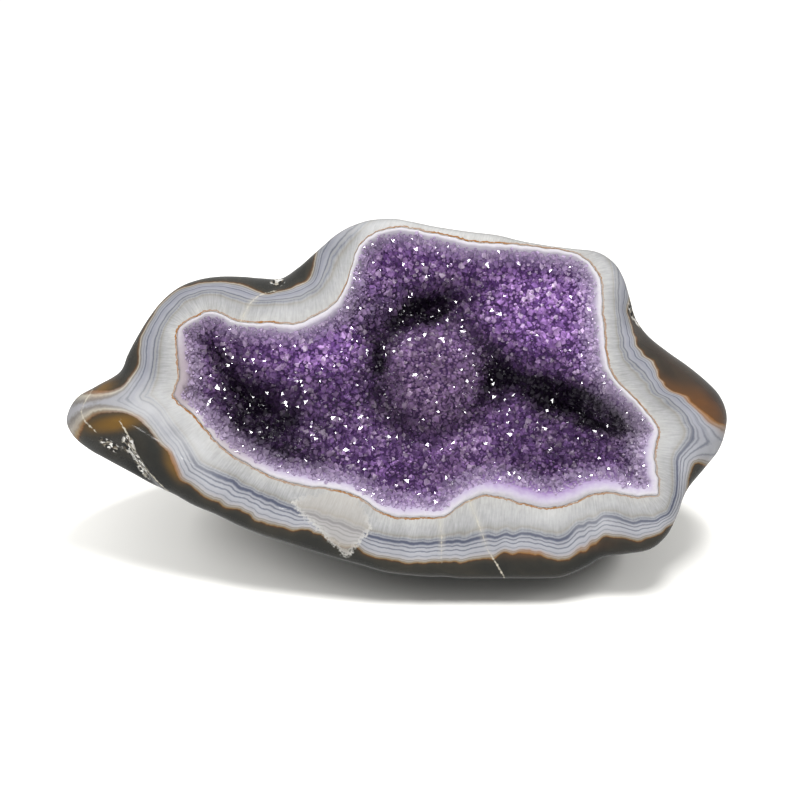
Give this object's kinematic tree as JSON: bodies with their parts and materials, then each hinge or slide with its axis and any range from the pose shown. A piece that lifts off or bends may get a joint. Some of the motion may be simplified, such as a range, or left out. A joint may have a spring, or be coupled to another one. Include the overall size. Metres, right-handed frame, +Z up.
{
  "type": "amethyst cluster",
  "caption": "Polished agate freeform lying on a sawn flat, with an open hollow lined with amethyst points.",
  "frame": {"origin": "middle of the bounding box, at the level of the sawn flat that the stone lies on", "axes": "+Z up, +X along the length to the right seen from the front, -Y out of the front, where the hollow opens"},
  "size_m": [0.2141, 0.1034, 0.0946],
  "materials": {
    "polished_agate": "polished banded stone",
    "amethyst": "natural crystal faces"
  },
  "bodies": {
    "root": {"agate_shell": "polished_agate", "amethyst_crust": "amethyst"}
  },
  "joints": []
}
